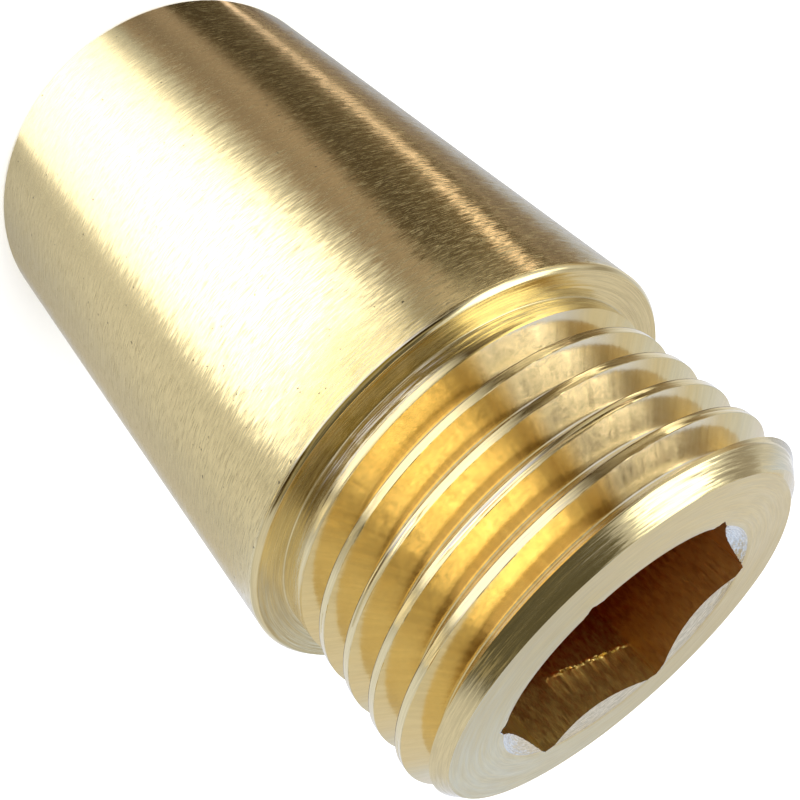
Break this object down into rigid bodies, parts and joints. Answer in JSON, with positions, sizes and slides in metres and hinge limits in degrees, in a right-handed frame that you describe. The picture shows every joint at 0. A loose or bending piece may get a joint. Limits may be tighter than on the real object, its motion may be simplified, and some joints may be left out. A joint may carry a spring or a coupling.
{
  "type": "extension coupling",
  "caption": "One-piece turned brass pipe coupling: plain cylindrical body, chamfered male thread with a hexagonal key socket, and a female thread in the other end.",
  "frame": {"origin": "centre of the female end face, on which the coupling stands", "axes": "+Z along the axis from the female end to the male end; +X through a corner of the hexagonal socket"},
  "size_m": [0.024, 0.024, 0.0404],
  "materials": {
    "brass": "satin, turned and brushed round the axis"
  },
  "bodies": {
    "root": {"coupling": "brass"}
  },
  "joints": []
}
